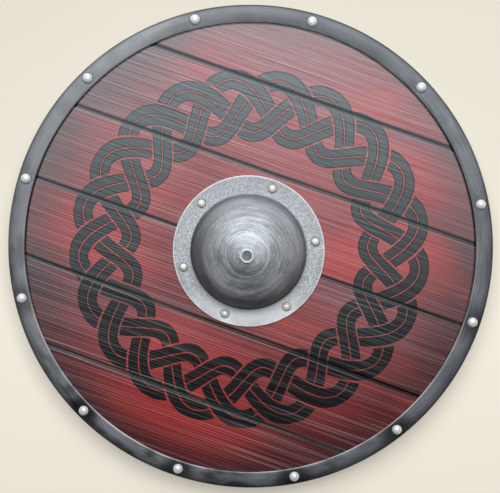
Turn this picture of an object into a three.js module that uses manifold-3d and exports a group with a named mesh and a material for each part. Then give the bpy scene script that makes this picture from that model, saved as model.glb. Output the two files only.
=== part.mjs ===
// A round wooden shield: boards side by side in a folded steel rim, a spun steel boss
// over the hand hole, and a grip and two battens across the back.
// Millimetres. The shield lies on its back, so +Z points out of its face, +X runs along
// the grain of the boards, and the origin is on the surface under the shield's middle.

import * as THREE from 'three';
import { mergeVertices } from 'three/addons/utils/BufferGeometryUtils.js';
import Module from 'manifold-3d';

const wasm = await Module();
wasm.setup();

// Whole shield
const outerRadius = 305;

// Fits
const seatGap = 0.3;          // between two pieces that rest on each other
const holeGap = 0.3;          // round a shank in its hole
const seamGap = 0.3;          // between two boards

// Boards
const boardThickness = 12;
const boardWidth = 101.2;
const grooveWidth = 6.6;      // of the V along each seam
const grooveDepth = 2.9;
const seamDrift = [1.3, 0.2, 0, 0.4, 1.5];            // each seam's distance from its even place
const seamSlant = [0.13, 0.2, 0.25, -0.5, -0.7];      // and its angle, in degrees

// Rim
const rimSheet = 1.8;
const rimWidth = 21.5;        // of the lip that shows on the face
const rimBend = 4;            // outside radius of its folds
const rimCrown = 0.8;         // how far the lip bows up along its middle
const rimSides = 60;

// Rivets, set out by eye: each drift is how far one stands from its even place, in degrees
const rivetShankRadius = 2.5;
const rivetSides = 8;
const rimRivetCount = 12;
const rimRivetStart = 0;      // degrees from +X
const rimRivetHeadRadius = 6.25;
const rimRivetHeadHeight = 4.2;
const rimRivetDrift = [1.9, 1, 3.1, 3.9, 2.3, 2.2, 1.3, 1.2, 3.5, 1.4, 0.8, -0.9];
const bossRivetCount = 6;
const bossRivetStart = 30;
const bossRivetHeadRadius = 5;
const bossRivetHeadHeight = 3.8;
const bossRivetDrift = [-2.2, -1.4, 3.7, 3.1, -1.4, -6.2];
const rivetTailRadius = 4.2;
const rivetTailTipRadius = 3;
const rivetTailHeight = 1.8;

// Boss
const bossSheet = 1.8;
const domeRadius = 71;
const flangeWidth = 24.5;
const domeHeight = 54;        // over the flange, without the ring at the top
const domeFillet = 2.5;
const topRingRadius = 8.5;
const topRingHeight = 2.2;
const topRingWidth = 2.2;
const topRingDimple = 1.2;
const handHoleLedge = 9.2;    // how far the boards reach in under the dome
const bossSides = 40;

// Back
const barThickness = 19;      // the battens and the grip are cut from one stock
const battenWidth = 38;
const battenFlangeGap = 0.5;  // the battens run just outside the boss's flange
const barBevel = 1.5;
const barRimGap = 8;          // between a bar's end and the rim's lip
const gripSeatWidth = 36;
const gripTipWidth = 22;
const gripShoulder = 8;       // length of the slope from the hand part to its seat
const gripHandWidth = 32;
const gripNeckWidth = 27;
const gripHandSides = 12;
const gripFlat = 40;          // straight stretch at the middle of the hand part
const tailPocketDepth = 3;    // sinks a rivet's tail into the grip's back

// Screws
const screwShankRadius = 2;
const screwHeadRadius = 4;
const screwHeadEdge = 0.5;    // height of the head's straight edge
const screwSink = 0.5;        // of the head below the bar's back
const screwCover = 3.5;       // wood left over a screw's point
const screwTip = 2;
const screwSides = 6;
const battenScrewCount = 6;
const battenScrewEnd = 18;    // from the end of a batten to its last screw
const gripScrewEnd = 37;      // from a tip of the grip to its first screw
const gripScrewPitch = 86;    // from that screw to the next

// Heights that follow from the sizes above
const boardBack = barThickness + seatGap;
const boardFront = boardBack + boardThickness;
const rimBackInside = boardBack - seatGap;
const rimBackOutside = rimBackInside - rimSheet;
const rimFrontInside = boardFront + seatGap;
const rimFrontOutside = rimFrontInside + rimSheet;
const flangeBottom = boardFront + seatGap;
const flangeTop = flangeBottom + bossSheet;

// Radii and places that follow
const flangeRadius = domeRadius + flangeWidth;
const bossRivetCircle = (domeRadius + domeFillet + flangeRadius) / 2;
const handHoleRadius = domeRadius - bossSheet - handHoleLedge;
const battenOffset = flangeRadius + battenFlangeGap + battenWidth / 2;
const rimInnerRadius = outerRadius - rimWidth;
const rimRivetCircle = outerRadius - rimWidth / 2;
const boardRadius = outerRadius - Math.max(rimBend, rimSheet) - seatGap;
const boardsPerSide = Math.max(1, Math.round(boardRadius / boardWidth));
const boardCount = 2 * boardsPerSide;

const rad = THREE.MathUtils.degToRad;

const materials = {
  redWood: new THREE.MeshStandardMaterial({ color: '#7c2a2c', roughness: 0.55, metalness: 0 }),
  plainWood: new THREE.MeshStandardMaterial({ color: '#b08a5c', roughness: 0.7, metalness: 0 }),
  rimSteel: new THREE.MeshStandardMaterial({ color: '#6b7073', roughness: 0.42, metalness: 1 }),
  bossSteel: new THREE.MeshStandardMaterial({ color: '#8e9499', roughness: 0.4, metalness: 1 }),
  brightSteel: new THREE.MeshStandardMaterial({ color: '#c9cccd', roughness: 0.25, metalness: 1 }),
  paleNickel: new THREE.MeshStandardMaterial({ color: '#cdc4a6', roughness: 0.3, metalness: 1 }),
  screwSteel: new THREE.MeshStandardMaterial({ color: '#8a8a86', roughness: 0.4, metalness: 1 }),
};

// Joins and cuts

// A closed solid from a geometry: corners merged, and triangles without area dropped.
function solid(geometry) {
  const bare = geometry.clone();
  bare.deleteAttribute('normal');
  bare.deleteAttribute('uv');
  const merged = mergeVertices(bare, 1e-4);
  const index = merged.index.array;
  const kept = [];
  for (let i = 0; i < index.length; i += 3) {
    const [a, b, c] = [index[i], index[i + 1], index[i + 2]];
    if (a !== b && b !== c && c !== a) {
      kept.push(a, b, c);
    }
  }
  return new wasm.Manifold(new wasm.Mesh({
    numProp: 3,
    vertProperties: merged.attributes.position.array,
    triVerts: new Uint32Array(kept),
  }));
}

function geometryOf(body) {
  const mesh = body.getMesh();
  const geometry = new THREE.BufferGeometry();
  geometry.setAttribute('position', new THREE.BufferAttribute(mesh.vertProperties, 3));
  geometry.setIndex(new THREE.BufferAttribute(mesh.triVerts, 1));
  geometry.computeVertexNormals();
  return geometry;
}

const joined = (bodies) => bodies.reduce((all, body) => all.add(body));

// Shapes used again and again

// A body of revolution about Z, from [radius, height] pairs listed anticlockwise.
function turned(profile, sides, start = 0) {
  const points = profile.map(([radius, height]) => new THREE.Vector2(radius, height));
  return new THREE.LatheGeometry(points, sides, start).rotateX(Math.PI / 2);
}

function disc(radius, bottom, top, sides) {
  return turned([[0, bottom], [radius, bottom], [radius, top], [0, top]], sides);
}

// [radius, height] pairs round an arc from one angle to another, ends included.
function arcPoints(radius, height, bend, fromDegrees, toDegrees, steps) {
  const points = [];
  for (let i = 0; i <= steps; i += 1) {
    const angle = rad(fromDegrees + (toDegrees - fromDegrees) * i / steps);
    points.push([radius + bend * Math.cos(angle), height + bend * Math.sin(angle)]);
  }
  return points;
}

// A flat plate with the outline of [x, y] pairs, standing on the height bottom.
function plate(outline, bottom, top, bevel = 0) {
  const shape = new THREE.Shape(outline.map(([x, y]) => new THREE.Vector2(x, y)));
  const options = {
    depth: top - bottom - 2 * bevel,
    bevelEnabled: bevel > 0,
    bevelThickness: bevel,
    bevelSize: bevel,
    bevelOffset: -bevel,
    bevelSegments: 1,
  };
  return new THREE.ExtrudeGeometry(shape, options).translate(0, 0, bottom + bevel);
}

// Places of what repeats

// The seam under board number index, boards being counted from the highest Y: where it
// crosses X = 0, and its slope.
function seam(index) {
  const even = (boardsPerSide - index) * boardWidth;
  return {
    offset: even + (seamDrift[index - 1] ?? 0),
    slope: Math.tan(rad(seamSlant[index - 1] ?? 0)),
  };
}

// The Y of a board's upper and lower edge at X = x, without the gap of its seams.
function boardEdges(number, x) {
  const height = (index) => seam(index).offset + seam(index).slope * x;
  return {
    high: number === 1 ? outerRadius : height(number - 1),
    low: number === boardCount ? -outerRadius : height(number),
  };
}

function circlePlaces(count, radius, start, drift) {
  return Array.from({ length: count }, (_, i) => {
    const angle = rad(start + 360 * i / count + (drift[i] ?? 0));
    return { x: radius * Math.cos(angle), y: radius * Math.sin(angle) };
  });
}

// Half the length of a bar along Y that stays clear of the rim's back lip.
function barReach(offset, width) {
  const side = Math.abs(offset) + width / 2;
  return Math.sqrt((rimInnerRadius - barRimGap) ** 2 - side ** 2);
}

// Evenly spaced screws along a batten.
function battenScrewPlaces(x) {
  const last = battenReach - battenScrewEnd;
  return Array.from({ length: battenScrewCount }, (_, i) => (
    { x, y: last * (1 - 2 * i / (battenScrewCount - 1)) }
  ));
}

// Two screws in each seat of the grip.
function gripScrewPlaces() {
  const outer = gripReach - gripScrewEnd;
  return [outer, outer - gripScrewPitch, gripScrewPitch - outer, -outer].map((y) => ({ x: 0, y }));
}

const gripReach = barReach(0, gripTipWidth);
const battenReach = barReach(battenOffset, battenWidth);
const rimRivets = circlePlaces(rimRivetCount, rimRivetCircle, rimRivetStart, rimRivetDrift);
const bossRivets = circlePlaces(bossRivetCount, bossRivetCircle, bossRivetStart, bossRivetDrift);
const gripScrews = gripScrewPlaces();
const battenScrews = {
  left: battenScrewPlaces(-battenOffset),
  right: battenScrewPlaces(battenOffset),
};
const allScrews = [...gripScrews, ...battenScrews.left, ...battenScrews.right];

const holdsGrip = ({ x }) => Math.abs(x) < gripSeatWidth / 2 - rivetTailRadius;

// Fasteners

function rivet(headRadius, headHeight, seat, back) {
  const ball = (headRadius ** 2 + headHeight ** 2) / (2 * headHeight);
  const start = THREE.MathUtils.radToDeg(Math.asin((ball - headHeight) / ball));
  const head = arcPoints(0, seat + headHeight - ball, ball, start, 90, 2);
  head[head.length - 1][0] = 0;
  return turned([
    [0, back - rivetTailHeight],
    [rivetTailTipRadius, back - rivetTailHeight],
    [rivetTailRadius, back],
    [rivetShankRadius, back],
    [rivetShankRadius, seat],
    ...head,
  ], rivetSides);
}

// The round hole that a rivet's shank passes through, from under every piece to over it.
function rivetHole({ x, y }) {
  const hole = disc(rivetShankRadius + holeGap, -1, flangeTop + domeHeight, rivetSides);
  return solid(hole).translate([x, y, 0]);
}

// A countersunk screw, point up, or with spare room round it the hole that it needs.
function screw(room = 0) {
  const edge = screwSink + screwHeadEdge;
  const neck = edge + screwHeadRadius - screwShankRadius;
  const point = boardFront - screwCover;
  return turned([
    [0, room ? -1 : screwSink],
    [screwHeadRadius + room, room ? -1 : screwSink],
    [screwHeadRadius + room, edge],
    [screwShankRadius + room, neck],
    [screwShankRadius + room, point - screwTip],
    [0, point + room],
  ], screwSides);
}

const holesFor = (rivets) => joined(rivets.map(rivetHole));
const screwHoles = (screws) => joined(screws.map(({ x, y }) => solid(screw(holeGap)).translate([x, y, 0])));

// Boards

// The V that both boards lose along seam number index.
function groove(index) {
  const above = 1;
  const half = grooveWidth / 2 * (1 + above / grooveDepth);
  const section = new THREE.Shape([
    new THREE.Vector2(-half, above),
    new THREE.Vector2(0, -grooveDepth),
    new THREE.Vector2(half, above),
  ]);
  const { offset, slope } = seam(index);
  const run = 2.2 * outerRadius;
  const alongX = new THREE.Matrix4().makeBasis(
    new THREE.Vector3(0, 1, 0),
    new THREE.Vector3(0, 0, 1),
    new THREE.Vector3(1, 0, 0),
  );
  const prism = new THREE.ExtrudeGeometry(section, { depth: run, bevelEnabled: false })
    .applyMatrix4(alongX)
    .translate(-run / 2, 0, 0)
    .rotateZ(Math.atan(slope))
    .translate(0, offset, boardFront);
  return solid(prism);
}

function boardCuts() {
  const grooves = Array.from({ length: boardCount - 1 }, (_, i) => groove(i + 1));
  const handHole = solid(disc(handHoleRadius, boardBack - 1, boardFront + 1, bossSides));
  return joined([...grooves, handHole, holesFor(rimRivets), holesFor(bossRivets), screwHoles(allScrews)]);
}

function board(number, round, cuts) {
  const right = boardEdges(number, outerRadius);
  const left = boardEdges(number, -outerRadius);
  const outline = [
    [-outerRadius, left.low + seamGap / 2],
    [outerRadius, right.low + seamGap / 2],
    [outerRadius, right.high - seamGap / 2],
    [-outerRadius, left.high - seamGap / 2],
  ];
  const strip = solid(plate(outline, boardBack - 1, boardFront + 1));
  return geometryOf(round.intersect(strip).subtract(cuts));
}

// Rim

// A channel folded round the edge of the boards, with a lip on the face and one behind.
function rim() {
  const middle = rimRivetCircle;
  const foldStart = outerRadius - rimBend;
  const innerBend = Math.max(rimBend - rimSheet, 0.1);
  const edgeRound = rimSheet / 3;
  const profile = [
    [rimInnerRadius, rimBackOutside],
    ...arcPoints(foldStart, rimBackOutside + rimBend, rimBend, -90, 0, 1),
    ...arcPoints(foldStart, rimFrontOutside - rimBend, rimBend, 0, 90, 2),
    [middle, rimFrontOutside + rimCrown],
    [rimInnerRadius + edgeRound, rimFrontOutside],
    [rimInnerRadius, rimFrontOutside - edgeRound],
    [rimInnerRadius, rimFrontInside],
    [middle, rimFrontInside + rimCrown],
    ...arcPoints(foldStart, rimFrontOutside - rimBend, innerBend, 90, 0, 1),
    ...arcPoints(foldStart, rimBackOutside + rimBend, innerBend, 0, -90, 1),
    [rimInnerRadius, rimBackInside],
    [rimInnerRadius, rimBackOutside],
  ];
  return geometryOf(solid(turned(profile, rimSides)).subtract(holesFor(rimRivets)));
}

// Boss

// The outside of the dome in [radius, height] pairs: steep at the flange, a little pointed
// towards the top, and pushed in by inset for the inside of the sheet.
function domePoints(inset, steps) {
  const base = flangeTop + domeFillet;
  const top = flangeTop + domeHeight;
  const rise = top - base;
  const curve = new THREE.CubicBezierCurve(
    new THREE.Vector2(domeRadius, base),
    new THREE.Vector2(domeRadius, base + 0.52 * rise),
    new THREE.Vector2(0.56 * domeRadius, base + 0.94 * rise),
    new THREE.Vector2(topRingRadius, top),
  );
  return curve.getPoints(steps).map((point, i) => {
    const along = curve.getTangent(i / steps);
    return [point.x - inset * along.y, point.y + inset * along.x];
  });
}

function boss() {
  const top = flangeTop + domeHeight;
  const inside = domePoints(bossSheet, 5).reverse();
  const profile = [
    [0, inside[0][1]],
    ...inside,
    [domeRadius - bossSheet, flangeBottom],
    [flangeRadius, flangeBottom],
    [flangeRadius, flangeTop],
    ...arcPoints(domeRadius + domeFillet, flangeTop + domeFillet, domeFillet, 270, 180, 2).slice(0, 2),
    ...domePoints(0, 8),
    [topRingRadius, top + topRingHeight],
    [topRingRadius - topRingWidth, top + topRingHeight],
    [topRingRadius - topRingWidth - topRingDimple, top + topRingHeight - topRingDimple],
    [0, top + topRingHeight - topRingDimple],
  ];
  return geometryOf(solid(turned(profile, bossSides)).subtract(holesFor(bossRivets)));
}

// Back

function batten(x, screws) {
  const half = battenWidth / 2;
  const clip = half / 3;
  const outline = [
    [x - half + clip, -battenReach], [x + half - clip, -battenReach],
    [x + half, -battenReach + clip], [x + half, battenReach - clip],
    [x + half - clip, battenReach], [x - half + clip, battenReach],
    [x - half, battenReach - clip], [x - half, -battenReach + clip],
  ];
  return geometryOf(solid(plate(outline, 0, barThickness, barBevel)).subtract(screwHoles(screws)));
}

// The flat seat of the grip on one side of the hand hole, side being 1 or -1.
function gripSeat(side) {
  const start = handHoleRadius - gripShoulder;
  const outline = [
    [-gripNeckWidth / 2, start], [gripNeckWidth / 2, start],
    [gripSeatWidth / 2, handHoleRadius + gripShoulder / 2], [gripSeatWidth / 2, flangeRadius],
    [gripTipWidth / 2, gripReach], [-gripTipWidth / 2, gripReach],
    [-gripSeatWidth / 2, flangeRadius], [-gripSeatWidth / 2, handHoleRadius + gripShoulder / 2],
  ];
  const seat = plate(outline, 0, barThickness, barBevel);
  return solid(side > 0 ? seat : seat.rotateZ(Math.PI));
}

// The oval hand part, turned about Y and flattened to the stock's thickness.
function gripHand() {
  const end = handHoleRadius - gripShoulder / 2;
  const profile = [
    [0, -end], [gripNeckWidth / 2, -end], [gripHandWidth / 2, -gripFlat / 2],
    [gripHandWidth / 2, gripFlat / 2], [gripNeckWidth / 2, end], [0, end],
  ];
  const flatten = barThickness / gripHandWidth / Math.cos(Math.PI / gripHandSides);
  return solid(turned(profile, gripHandSides, Math.PI / gripHandSides)
    .rotateX(-Math.PI / 2)
    .scale(1, 1, flatten)
    .translate(0, 0, barThickness / 2));
}

function grip() {
  const pockets = bossRivets.filter(holdsGrip).map(({ x, y }) => (
    solid(disc(rivetTailRadius + 2 * holeGap, -1, tailPocketDepth, rivetSides)).translate([x, y, 0])
  ));
  return geometryOf(joined([gripHand(), gripSeat(1), gripSeat(-1)])
    .subtract(joined([holesFor(bossRivets), screwHoles(gripScrews), ...pockets])));
}

// The shield

const shield = new THREE.Group();
shield.name = 'round_shield';

function add(name, geometry, material, { x, y } = { x: 0, y: 0 }) {
  const mesh = new THREE.Mesh(geometry, material);
  mesh.name = name;
  mesh.position.set(x, y, 0);
  shield.add(mesh);
}

const round = solid(disc(boardRadius, boardBack, boardFront, rimSides));
const cuts = boardCuts();
for (let number = 1; number <= boardCount; number += 1) {
  add(`plank_${number}`, board(number, round, cuts), materials.redWood);
}

add('rim', rim(), materials.rimSteel);
rimRivets.forEach((place, i) => {
  const seat = rimFrontOutside + rimCrown + seatGap;
  const body = rivet(rimRivetHeadRadius, rimRivetHeadHeight, seat, rimBackOutside - seatGap);
  add(`rim_rivet_${i + 1}`, geometryOf(solid(body)), materials.brightSteel, place);
});

add('boss', boss(), materials.bossSteel);
bossRivets.forEach((place, i) => {
  const back = holdsGrip(place) ? tailPocketDepth : boardBack;
  const body = rivet(bossRivetHeadRadius, bossRivetHeadHeight, flangeTop + seatGap, back - seatGap);
  add(`boss_rivet_${i + 1}`, geometryOf(solid(body)), materials.paleNickel, place);
});

add('grip', grip(), materials.plainWood);
add('batten_left', batten(-battenOffset, battenScrews.left), materials.plainWood);
add('batten_right', batten(battenOffset, battenScrews.right), materials.plainWood);

function addScrews(prefix, places) {
  places.forEach((place, i) => {
    add(`${prefix}_${i + 1}`, geometryOf(solid(screw())), materials.screwSteel, place);
  });
}
addScrews('grip_screw', gripScrews);
addScrews('batten_left_screw', battenScrews.left);
addScrews('batten_right_screw', battenScrews.right);

export default shield;
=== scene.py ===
# %% [markdown]
# # A wooden round shield
#
# This lesson dresses a round shield in Blender: six stained boards in a folded steel rim, a
# spun steel boss over the hand hole, and a grip and two battens behind. Each step first says
# what the piece is and how it could be made, and then makes it. The sizes come from a model
# that is already finished, so nothing here is moved or scaled. Blender only gives each piece
# its fine shape and its finish.

# %% Load the finished model
import math

import bmesh
import bpy
import numpy as np
from mathutils import Matrix, Vector


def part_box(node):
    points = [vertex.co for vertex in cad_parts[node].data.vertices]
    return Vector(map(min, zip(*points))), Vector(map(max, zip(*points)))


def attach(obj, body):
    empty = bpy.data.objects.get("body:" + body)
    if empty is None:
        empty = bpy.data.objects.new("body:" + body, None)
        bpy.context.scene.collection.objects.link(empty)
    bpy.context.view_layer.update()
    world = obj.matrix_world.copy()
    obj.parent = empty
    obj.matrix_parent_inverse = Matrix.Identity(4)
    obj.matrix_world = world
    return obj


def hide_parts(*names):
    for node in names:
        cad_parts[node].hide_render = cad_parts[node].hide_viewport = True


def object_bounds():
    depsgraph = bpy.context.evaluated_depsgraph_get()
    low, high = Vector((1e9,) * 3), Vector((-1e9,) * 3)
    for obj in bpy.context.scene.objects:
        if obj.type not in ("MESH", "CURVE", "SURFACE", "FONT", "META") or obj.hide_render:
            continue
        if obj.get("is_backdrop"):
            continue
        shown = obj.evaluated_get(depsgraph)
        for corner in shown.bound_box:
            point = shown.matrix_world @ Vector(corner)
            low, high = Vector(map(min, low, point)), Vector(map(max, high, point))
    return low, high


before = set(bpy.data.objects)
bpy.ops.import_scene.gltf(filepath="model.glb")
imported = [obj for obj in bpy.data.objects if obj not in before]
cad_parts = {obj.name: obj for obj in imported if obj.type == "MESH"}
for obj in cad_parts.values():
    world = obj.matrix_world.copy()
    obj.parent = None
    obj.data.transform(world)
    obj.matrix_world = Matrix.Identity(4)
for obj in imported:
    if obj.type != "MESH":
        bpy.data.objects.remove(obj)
cad_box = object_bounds()
scene = bpy.context.scene
MM = 0.001


def add_object(name, data):
    """Puts a mesh, a light or a camera into the scene."""
    added = bpy.data.objects.new(name, data)
    scene.collection.objects.link(added)
    return added


print("pieces in the model:", len(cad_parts))
print("its size in mm:", [round(length / MM, 1) for length in cad_box[1] - cad_box[0]])

# %% [markdown]
# ## The camera
#
# The camera comes first, because every later choice is judged through it. A lens of 75.6 mm
# on a 36 mm sensor sees the whole shield from 1.3 m. The camera stands a little above the
# middle of the shield and is turned, so that the grain of the boards runs down to the right.
# Its turn is built from three directions at right angles: ahead, to the right and up. That is
# safer than three angles, because their order can't be mixed up.

# %% Set up the camera
camera_place = Vector((2.9, 136.1, 1342.8)) * MM
camera_aim = Vector((-0.4, 6.6, 33.5)) * MM
camera_turn = math.radians(19.52)
sensor_width = 36
lens_length = 75.56
farthest_seen = 200

camera_data = bpy.data.cameras.new("camera")
camera_data.sensor_width = sensor_width
camera_data.lens = lens_length
camera_data.clip_end = farthest_seen

ahead = (camera_aim - camera_place).normalized()
rightwards = Vector((math.cos(camera_turn), math.sin(camera_turn), 0))
rightwards = (rightwards - ahead * rightwards.dot(ahead)).normalized()
upwards = rightwards.cross(ahead)
axes = Matrix((rightwards, upwards, -ahead)).transposed().to_4x4()
camera = add_object("camera", camera_data)
camera.matrix_world = Matrix.Translation(camera_place) @ axes
scene.camera = camera
print("camera to shield in mm:", round((camera_aim - camera_place).length / MM))

# %% [markdown]
# ## Light
#
# One large soft light stands beyond the top of the picture, as a window would. Its reflection
# lies as a pale haze on the upper boards and fades towards the bottom. A small bright light at
# the upper right puts a spark on each rivet.

# %% Add the lights
scene.view_settings.view_transform = "Standard"
scene.view_settings.look = "None"
picture_up = Vector((-0.334, 0.9426, 0))
picture_right = Vector((0.9426, 0.334, 0))
window_place = picture_up * 1.2 + Vector((0, 0, 1.75))
spark_place = picture_up * 0.7 + picture_right * 0.7 + Vector((0, 0, 1.5))
room_colour = (0.8, 0.87, 1, 1)
room_strength = 0.1


def area_light(name, place, size, power, colour):
    data = bpy.data.lights.new(name, "AREA")
    data.shape = "DISK"
    data.size = size
    data.energy = power
    data.color = colour
    light = add_object(name, data)
    light.location = place
    light.rotation_mode = "QUATERNION"
    light.rotation_quaternion = (-place).to_track_quat("-Z", "Y")
    return light


window = area_light("window", window_place, size=1.9, power=52, colour=(0.93, 0.97, 1))
spark = area_light("spark", spark_place, size=0.16, power=2.6, colour=(1, 0.98, 0.95))
world = bpy.data.worlds.new("room")
world.use_nodes = True
room = world.node_tree.nodes["Background"]
room.inputs["Color"].default_value = room_colour
room.inputs["Strength"].default_value = room_strength
scene.world = world
print("lights:", window.name, "and", spark.name)

# %% [markdown]
# ## Arithmetic in node trees
#
# Materials and Geometry Nodes both work with Math nodes, and a formula of twenty nodes is hard
# to read as twenty calls. So a small class stands for a value in a tree: adding or multiplying
# two of them adds the node and its links. The formulas below then read like formulas.

# %% Values that build their own nodes


def fill(entry, value):
    """Links a Field or a socket to the input of a node, or gives it a plain value."""
    if isinstance(value, Field):
        value = value.socket
    if isinstance(value, bpy.types.NodeSocket):
        entry.id_data.links.new(value, entry)
    else:
        entry.default_value = value


def add_node(tree, kind, entries=None, **settings):
    """Adds a node, sets its options and fills its inputs."""
    node = tree.nodes.new(kind)
    for name, value in settings.items():
        setattr(node, name, value)
    for label, value in (entries or {}).items():
        fill(node.inputs[label], value)
    return node


class Field:
    """A value in a node tree. Arithmetic on it adds Math nodes."""

    def __init__(self, tree, socket):
        self.tree = tree
        self.socket = socket

    def maths(self, operation, *others):
        entries = dict(enumerate((self, *others)))
        node = add_node(self.tree, "ShaderNodeMath", entries, operation=operation)
        return Field(self.tree, node.outputs[0])

    def __add__(self, other):
        return self.maths("ADD", other)

    def __sub__(self, other):
        return self.maths("SUBTRACT", other)

    def __rsub__(self, other):
        return self * -1 + other

    def __mul__(self, other):
        return self.maths("MULTIPLY", other)

    def __truediv__(self, other):
        return self.maths("DIVIDE", other)

    def __abs__(self):
        return self.maths("ABSOLUTE")

    def above(self, limit):
        return self.maths("GREATER_THAN", limit)

    def most(self, other):
        return self.maths("MAXIMUM", other)

    def fade(self, low, high, kind="SMOOTHSTEP"):
        """0 below low, 1 above high and smooth between them. Low may be the larger one."""
        start, end = sorted((low, high))
        node = add_node(self.tree, "ShaderNodeMapRange", {
            "Value": self, "From Min": start, "From Max": end,
            "To Min": float(low > high), "To Max": float(low < high),
        }, interpolation_type=kind)
        return Field(self.tree, node.outputs["Result"])

    __radd__ = __add__
    __rmul__ = __mul__


print("a Field has", sum(name.startswith("__") for name in vars(Field)), "special names")

# %% [markdown]
# A material is then a list of coats, as a painter would lay them: a ground colour, and over it
# one coat after another, each with its share of cover from 0 to 1. The shares use two measures
# over and over: how far up the picture a place lies from the middle, and how far to the left.
# Both are in metres and belong to the shield, so they stay put when the camera moves.

# %% Materials as coats of paint


class Nodes:
    """A node tree with short ways to add to it."""

    def __init__(self, tree):
        self.tree = tree

    def add(self, kind, entries=None, **settings):
        return add_node(self.tree, kind, entries, **settings)

    def vector(self, x, y, z):
        return self.add("ShaderNodeCombineXYZ", {0: x, 1: y, 2: z}).outputs[0]

    def split(self, vector):
        outputs = self.add("ShaderNodeSeparateXYZ", {0: vector}).outputs
        return [Field(self.tree, output) for output in outputs]


class Material(Nodes):
    """A node material round one Principled shader, with short ways to add what feeds it."""

    def __init__(self, name, roughness=0.5, metallic=0.0):
        self.material = bpy.data.materials.new(name)
        self.material.use_nodes = True
        super().__init__(self.material.node_tree)
        self.shader = self.tree.nodes["Principled BSDF"]
        self.feed("Roughness", roughness)
        self.feed("Metallic", metallic)
        self.place = self.add("ShaderNodeTexCoord").outputs["Object"]
        self.x, self.y, self.z = self.split(self.place)

    def feed(self, name, value):
        fill(self.shader.inputs[name], value)

    def radius(self):
        return (self.x * self.x + self.y * self.y).maths("SQRT")

    def along(self, direction):
        return self.x * direction.x + self.y * direction.y

    def attribute(self, name):
        node = self.add("ShaderNodeAttribute", attribute_name=name)
        return Field(self.tree, node.outputs["Fac"])

    def noise(self, vector, scale, detail=2.0, roughness=0.5):
        node = self.add("ShaderNodeTexNoise", {
            "Vector": vector, "Scale": scale, "Detail": detail, "Roughness": roughness,
        })
        return Field(self.tree, node.outputs["Fac"])

    def mix(self, share, first, second):
        """A colour between first and second, each a socket or red, green and blue."""
        ends = [(*end, 1) if isinstance(end, tuple) else end for end in (first, second)]
        entries = {0: share, 6: ends[0], 7: ends[1]}
        return self.add("ShaderNodeMix", entries, data_type="RGBA").outputs[2]

    def coats(self, ground, *coats):
        """The ground colour under further coats, each a share of cover and a colour."""
        for share, colour in coats:
            ground = self.mix(share, ground, colour)
        return ground

    def bump(self, height, distance, strength):
        entries = {"Distance": distance, "Strength": strength, "Height": height}
        self.feed("Normal", self.add("ShaderNodeBump", entries).outputs["Normal"])


print("a Material has", len([name for name in vars(Material) if name[0] != "_"]), "helpers")

# %% [markdown]
# ## The floor
#
# The floor is a plain pale sheet. It glows a little by itself, more on the side away from the
# window, which keeps it even while it still takes the shield's soft shadow.

# %% Add the floor
floor_reach = 60.0
floor_tone = (0.6, 0.547, 0.459, 1)
glow_low = (0.402, 0.378, 0.325)
glow_high = (0.168, 0.159, 0.137)
glow_start = -0.1
glow_end = 0.34

floor_mesh = bpy.data.meshes.new("floor")
floor_mesh.from_pydata(
    [(-floor_reach, -floor_reach, 0), (floor_reach, -floor_reach, 0),
     (floor_reach, floor_reach, 0), (-floor_reach, floor_reach, 0)],
    [], [(0, 1, 2, 3)],
)
floor = add_object("floor", floor_mesh)
floor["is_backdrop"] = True

floor_paint = Material("floor_paint", roughness=1.0)
glow_share = floor_paint.along(picture_up).fade(glow_start, glow_end, "LINEAR")
floor_paint.feed("Base Color", floor_tone)
floor_paint.feed("Specular IOR Level", 0.0)
floor_paint.feed("Emission Strength", 1.0)
floor_paint.feed("Emission Color", floor_paint.mix(glow_share, glow_low, glow_high))
floor_mesh.materials.append(floor_paint.material)
print("the floor is", 2 * floor_reach, "m wide")

# %% [markdown]
# ## The boards
#
# Each board is pine, wire-brushed along its grain, stained red and cut with half of a V along
# each seam. A plain slab with a bump map would look flat from the side, so each board gets a
# fine net of its own. Its rows follow the seams and its ends follow the round edge, so no
# square steps show. The net is worked out with numpy: the height of each point is the face of
# the board, less the V, less the brushed relief.

# %% Sizes of the boards
shield_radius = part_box("rim")[1].x
board_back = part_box("plank_3")[0].z
board_radius, _, board_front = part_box("plank_3")[1]
board_count = 6
board_width = 101.2 * MM
seam_gap = 0.3 * MM
groove_width = 6.6 * MM
groove_depth = 2.9 * MM
groove_rows = np.array([0, 0.6, 1.3, 2.0, 2.7, 3.3, 3.9]) * MM
hand_hole_radius = 60 * MM
seam_drift = [1.3, 0.2, 0, 0.4, 1.5]
seam_slant = [0.13, 0.2, 0.25, -0.5, -0.7]
outermost = 0.9999
sharp_board_edge = math.radians(35)

along_step = 2.0 * MM
across_step = 0.85 * MM
relief_depth = 0.22 * MM
back_ease = 0.6 * MM


def seam_line(index):
    """The seam under board number index, as where it crosses x = 0 and its slope."""
    if index in (0, board_count):
        return board_radius * (outermost if index == 0 else -outermost), 0.0
    even = (board_count / 2 - index) * board_width
    return even + seam_drift[index - 1] * MM, math.tan(math.radians(seam_slant[index - 1]))


print("seams at x = 0, in mm:", [round(seam_line(i)[0] / MM, 1) for i in range(1, board_count)])

# %% [markdown]
# Wood that is brushed with wire loses its soft early growth and keeps the hard late growth, so
# its relief is many narrow ridges along the grain. Smooth random heights on a long, narrow
# lattice give just that. The lattice uses a sine as its source of chance, so that every run
# gives the same boards.

# %% Brushed relief


def eased(share):
    """A share from 0 to 1 with a level start and end."""
    return share**2 * (3 - 2 * share)


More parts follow.
